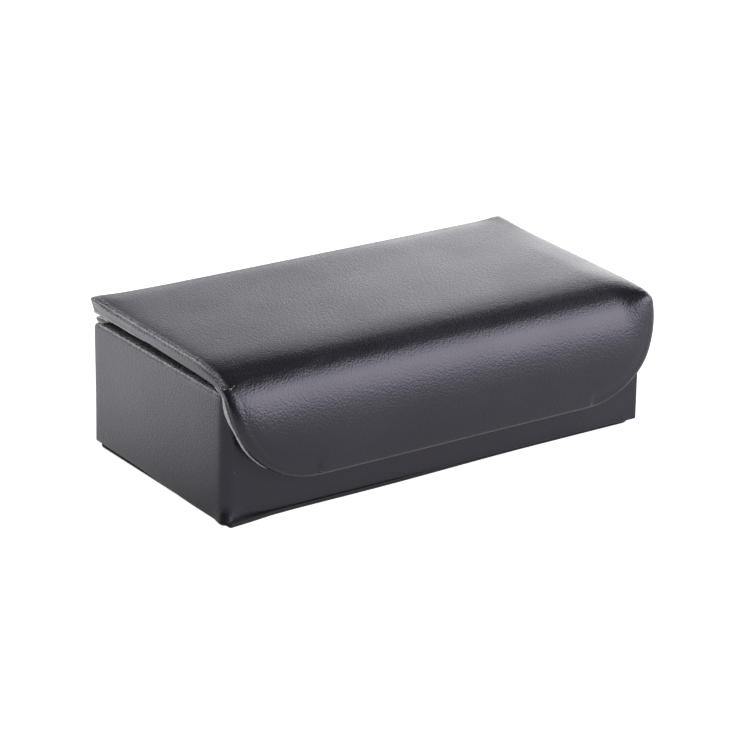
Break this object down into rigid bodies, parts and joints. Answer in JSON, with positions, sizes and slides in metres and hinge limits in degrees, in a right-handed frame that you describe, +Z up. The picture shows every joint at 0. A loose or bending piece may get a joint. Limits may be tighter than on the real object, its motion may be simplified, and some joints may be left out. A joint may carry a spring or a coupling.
{
  "type": "cufflink box",
  "caption": "Small rectangular leatherette box with a fold-hinged lid, a padded front flap held by magnets, and a velvet pad slotted for cufflinks.",
  "frame": {"origin": "middle of the footprint of the whole closed box, flap included, on the surface it stands on", "axes": "+X along the box's length to its right end, +Y from the flap towards the hinge, +Z up"},
  "size_m": [0.0908, 0.0498, 0.028],
  "materials": {
    "leatherette": "black fine-grain leatherette, satin",
    "base_paper": "black uncoated card",
    "greyboard": "raw grey board",
    "paper": "gummed kraft paper",
    "steel": "zinc-plated steel",
    "magnet": "nickel-plated magnet",
    "white_tape": "white woven tape",
    "wall_cloth": "off-white flocked cloth",
    "velvet": "off-white velvet",
    "satin": "off-white satin",
    "white_lining": "off-white lining cloth, raw cut edge",
    "foam": "soft white foam",
    "card": "white-lined card"
  },
  "bodies": {
    "tray": {"base_sheet": "base_paper", "floor_board": "greyboard", "front_board": "greyboard", "back_board": "greyboard", "left_board": "greyboard", "right_board": "greyboard", "corner_stays": "paper", "tray_wrap": "leatherette", "catch_plates": "steel", "hinge_liner": "white_tape", "wall_lining": "wall_cloth", "insert_card": "card", "insert_foam": "foam", "insert_velvet": "velvet"},
    "lid": {"lid_board": "greyboard", "lid_padding": "foam", "lid_cover": "leatherette", "lid_lining": "white_lining", "lid_pad_card": "card", "lid_pad_cloth": "satin"},
    "flap": {"flap_cover": "leatherette", "flap_padding": "foam", "flap_stiffener": "card", "flap_lining": "white_lining", "flap_magnets": "magnet"}
  },
  "joints": [
    {"name": "lid_hinge", "type": "hinge", "parent": "tray", "child": "lid", "pos_m": [0, 0.0249, 0.0244], "axis": [-1, 0, 0], "range_deg": [0, 110]},
    {"name": "flap_fold", "type": "hinge", "parent": "lid", "child": "flap", "pos_m": [0, -0.01825, 0.028], "axis": [-1, 0, 0], "range_deg": [0, 110]}
  ]
}
